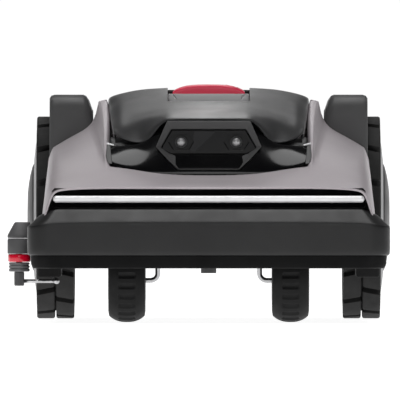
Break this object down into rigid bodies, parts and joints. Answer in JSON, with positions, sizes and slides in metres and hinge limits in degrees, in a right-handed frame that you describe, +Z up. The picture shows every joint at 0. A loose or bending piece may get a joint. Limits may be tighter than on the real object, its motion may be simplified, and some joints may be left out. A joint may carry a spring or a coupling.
{
  "type": "robotic lawn mower",
  "caption": "Low robotic lawn mower with two lugged drive wheels, two swivel casters, sprung bumper, stereo camera, stop button, floating-blade cutting disc and side edge trimmer.",
  "frame": {"origin": "On the ground, on the mid-plane, half way between the bumper's face and the rear cover's face.", "axes": "+Z is up, -Y is the way the nose points, +X is the machine's left side seen from behind the nose, the viewer's right when the nose faces the viewer. X = 0 is the mid-plane; the edge trimmer stands on -X."},
  "size_m": [0.4633, 0.64, 0.2856],
  "materials": {
    "aluminium": "die-cast aluminium",
    "battery": "battery case",
    "black_plastic": "fine-textured black plastic",
    "blade_steel": "ground blade steel",
    "board_green": "green circuit board",
    "bronze": "sintered bronze bush",
    "camera_glass": "tinted camera window",
    "caster_rubber": "dark rubber tread",
    "copper": "plated charging contact",
    "display_glass": "dark display window",
    "fender": "dark grey fine-grained plastic",
    "gloss_black": "piano black",
    "hood": "dark grey satin moulded plastic",
    "hub_black": "black moulded plastic",
    "inner_plastic": "plain inner plastic",
    "key_grey": "silicone key",
    "lens": "coated lens barrel",
    "light_chrome": "polished light bar",
    "rim_grey": "light grey moulded plastic",
    "shell": "taupe metallic paint over moulded plastic",
    "silver_trim": "satin silver paint",
    "skirt": "matte black plastic",
    "spool_grey": "grey ribbed spool",
    "steel": "bright steel",
    "stop_red": "red moulded button",
    "trim_red": "red ring",
    "tyre": "black rubber"
  },
  "bodies": {
    "chassis": {"antenna_puck": "inner_plastic", "battery_pack": "battery", "camera_housing": "gloss_black", "camera_lenses": "lens", "camera_window": "camera_glass", "caster_bushes": "bronze", "charging_contacts": "copper", "chassis_tub": "skirt", "deck_guide_rods": "steel", "display": "display_glass", "drive_motor_left": "aluminium", "drive_motor_right": "aluminium", "fender_left": "fender", "fender_right": "fender", "front_fascia": "gloss_black", "hood_cover": "hood", "keypad_panel": "black_plastic", "lift_bridge": "inner_plastic", "lift_motor": "aluminium", "light_bar": "light_chrome", "light_tray": "gloss_black", "main_board": "board_green", "rear_cover": "black_plastic", "skirt_left": "skirt", "skirt_right": "skirt", "stop_button_trim": "silver_trim", "trimmer_arm": "black_plastic", "trimmer_cap": "black_plastic", "trimmer_housing": "black_plastic", "trimmer_motor": "aluminium", "trimmer_ring": "trim_red", "upper_shell": "shell", "wheel_bearings": "steel"},
    "bumper": {"front_bumper": "black_plastic", "bumper_pins": "steel"},
    "stop_button": {"stop_button": "stop_red"},
    "lid": {"control_lid": "hood"},
    "key_power": {"key_power": "key_grey"},
    "key_home": {"key_home": "key_grey"},
    "key_start": {"key_start": "key_grey"},
    "wheel_left": {"wheel_left_tyre": "tyre", "wheel_left_rim": "rim_grey", "wheel_left_hub": "hub_black"},
    "wheel_right": {"wheel_right_tyre": "tyre", "wheel_right_rim": "rim_grey", "wheel_right_hub": "hub_black"},
    "caster_left": {"caster_left_fork": "steel"},
    "caster_left_wheel": {"caster_left_wheel": "caster_rubber"},
    "caster_right": {"caster_right_fork": "steel"},
    "caster_right_wheel": {"caster_right_wheel": "caster_rubber"},
    "cutting_deck": {"deck_carriage": "inner_plastic", "cutting_motor": "aluminium"},
    "cutting_disc": {"blade_disc": "inner_plastic", "blade_screws": "steel"},
    "blade_1": {"blade_1": "blade_steel"},
    "blade_2": {"blade_2": "blade_steel"},
    "blade_3": {"blade_3": "blade_steel"},
    "lift_screw": {"lift_screw": "steel"},
    "trimmer_head": {"trimmer_spool": "spool_grey", "trimmer_tip": "steel"}
  },
  "joints": [
    {"name": "bumper_slide", "type": "slide", "parent": "chassis", "child": "bumper", "axis": [0, 1, 0], "range_m": [0, 0.006], "stiffness_N_per_m": 2500},
    {"name": "stop_press", "type": "slide", "parent": "chassis", "child": "stop_button", "axis": [0, 0, -1], "range_m": [0, 0.0035], "stiffness_N_per_m": 1500},
    {"name": "lid_hinge", "type": "hinge", "parent": "chassis", "child": "lid", "pos_m": [0, 0.18627, 0.25538], "axis": [-1, 0, 0], "range_deg": [0, 80]},
    {"name": "key_power_press", "type": "slide", "parent": "chassis", "child": "key_power", "axis": [0, -0.134, -0.991], "range_m": [0, 0.0015], "stiffness_N_per_m": 600},
    {"name": "key_home_press", "type": "slide", "parent": "chassis", "child": "key_home", "axis": [0, -0.134, -0.991], "range_m": [0, 0.0015], "stiffness_N_per_m": 600},
    {"name": "key_start_press", "type": "slide", "parent": "chassis", "child": "key_start", "axis": [0, -0.134, -0.991], "range_m": [0, 0.0015], "stiffness_N_per_m": 600},
    {"name": "wheel_left_spin", "type": "hinge", "parent": "chassis", "child": "wheel_left", "pos_m": [-0.186, 0.175, 0.123], "axis": [1, 0, 0], "continuous": true},
    {"name": "caster_left_swivel", "type": "hinge", "parent": "chassis", "child": "caster_left", "pos_m": [-0.098, -0.205, 0.13], "axis": [0, 0, 1], "continuous": true},
    {"name": "caster_left_roll", "type": "hinge", "parent": "caster_left", "child": "caster_left_wheel", "pos_m": [-0.098, -0.179, 0.05], "axis": [1, 0, 0], "continuous": true},
    {"name": "wheel_right_spin", "type": "hinge", "parent": "chassis", "child": "wheel_right", "pos_m": [0.186, 0.175, 0.123], "axis": [1, 0, 0], "continuous": true},
    {"name": "caster_right_swivel", "type": "hinge", "parent": "chassis", "child": "caster_right", "pos_m": [0.098, -0.205, 0.13], "axis": [0, 0, 1], "continuous": true},
    {"name": "caster_right_roll", "type": "hinge", "parent": "caster_right", "child": "caster_right_wheel", "pos_m": [0.098, -0.179, 0.05], "axis": [1, 0, 0], "continuous": true},
    {"name": "deck_lift", "type": "slide", "parent": "chassis", "child": "cutting_deck", "axis": [0, 0, 1], "range_m": [-0.036, 0.004]},
    {"name": "lift_screw_turn", "type": "hinge", "parent": "chassis", "child": "lift_screw", "pos_m": [0.05196, 0.025, 0.13], "axis": [0, 0, 1], "range_deg": [-1620, 180]},
    {"name": "cutting_spin", "type": "hinge", "parent": "cutting_deck", "child": "cutting_disc", "pos_m": [0, -0.005, 0.07], "axis": [0, 0, 1], "continuous": true},
    {"name": "trimmer_spin", "type": "hinge", "parent": "chassis", "child": "trimmer_head", "pos_m": [-0.2286, -0.02, 0.06], "axis": [0, 0, 1], "continuous": true},
    {"name": "blade_1_pivot", "type": "hinge", "parent": "cutting_disc", "child": "blade_1", "pos_m": [0, -0.083, 0.067], "axis": [0, 0, 1], "range_deg": [-100, 100]},
    {"name": "blade_2_pivot", "type": "hinge", "parent": "cutting_disc", "child": "blade_2", "pos_m": [0.06755, 0.034, 0.067], "axis": [0, 0, 1], "range_deg": [-100, 100]},
    {"name": "blade_3_pivot", "type": "hinge", "parent": "cutting_disc", "child": "blade_3", "pos_m": [-0.06755, 0.034, 0.067], "axis": [0, 0, 1], "range_deg": [-100, 100]}
  ],
  "couplings": [
    {"joint": "lift_screw_turn", "follows": "deck_lift", "rad_per_m": 785.4}
  ]
}
